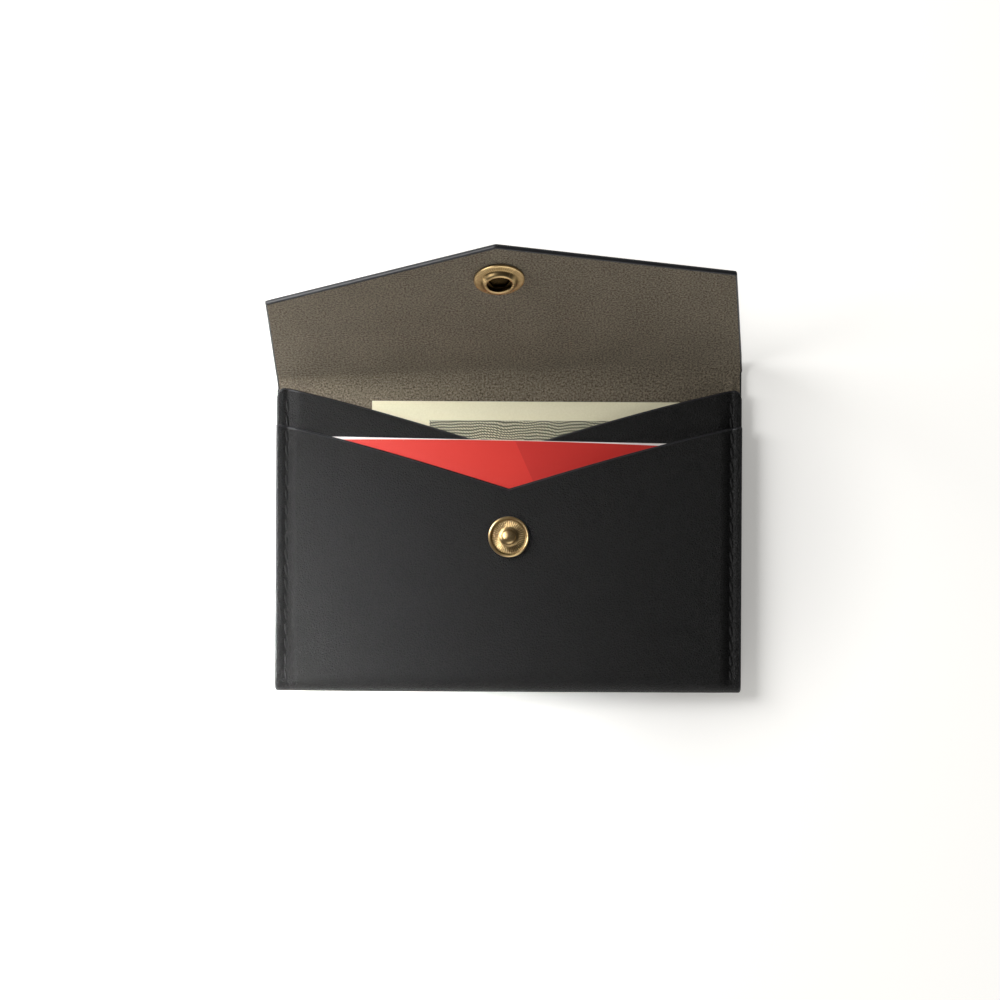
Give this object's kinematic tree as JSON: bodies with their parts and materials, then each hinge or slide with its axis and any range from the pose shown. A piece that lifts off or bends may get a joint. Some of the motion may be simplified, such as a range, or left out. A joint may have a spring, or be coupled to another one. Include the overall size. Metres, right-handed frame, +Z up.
{
  "type": "envelope card wallet",
  "caption": "Slim black leather card wallet with V-cut pockets, side seams and a pointed envelope flap that folds over and snaps shut.",
  "frame": {"origin": "middle of the back's outer face, on the surface that the wallet lies on", "axes": "+X across the wallet to the right, +Y towards the fold and the open flap, +Z up out of the front"},
  "size_m": [0.1056, 0.0973, 0.0432],
  "materials": {
    "black_leather": "fine pebbled grain, satin",
    "flap_lining": "sueded microfibre backing",
    "thread": "waxed polyester thread",
    "brass": "antique brass, worn bright on the rims",
    "spring": "dark spring brass",
    "red_card": "satin print",
    "note_paper": "cotton paper"
  },
  "bodies": {
    "wallet": {"leather_body": "black_leather", "pocket_divider": "black_leather", "left_needle_thread": "thread", "left_bobbin_thread": "thread", "right_needle_thread": "thread", "right_bobbin_thread": "thread", "snap_stud": "brass", "stud_eyelet": "brass", "card": "red_card", "folded_note": "note_paper"},
    "flap": {"flap": "black_leather", "snap_socket": "brass", "socket_spring": "spring", "snap_cap": "brass"}
  },
  "joints": [
    {"name": "flap_fold", "type": "hinge", "parent": "wallet", "child": "flap", "pos_m": [0, 0.03599, 0.005], "axis": [0.999, 0.0436, 0], "range_deg": [0, 120]}
  ]
}
